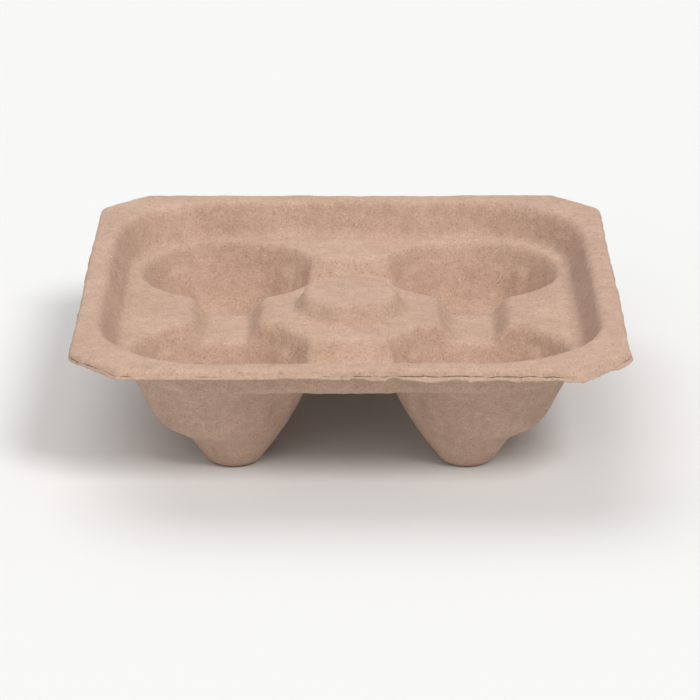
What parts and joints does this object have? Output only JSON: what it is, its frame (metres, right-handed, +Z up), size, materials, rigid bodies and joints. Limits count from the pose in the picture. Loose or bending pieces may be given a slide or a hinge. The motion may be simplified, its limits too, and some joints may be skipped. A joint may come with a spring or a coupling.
{
  "type": "cup carrier",
  "caption": "Square moulded-fibre carry tray with cut corners, a turned-down lip and tapered round wells that hold drink cups upright.",
  "frame": {"origin": "on the standing surface, under the middle of the tray", "axes": "+Z up, out of the wells; +X to the right and +Y to the back of the square tray"},
  "size_m": [0.2158, 0.2158, 0.0585],
  "materials": {
    "pulp": "matte, fibrous, uncoated"
  },
  "bodies": {
    "root": {"cup_carrier": "pulp"}
  },
  "joints": []
}
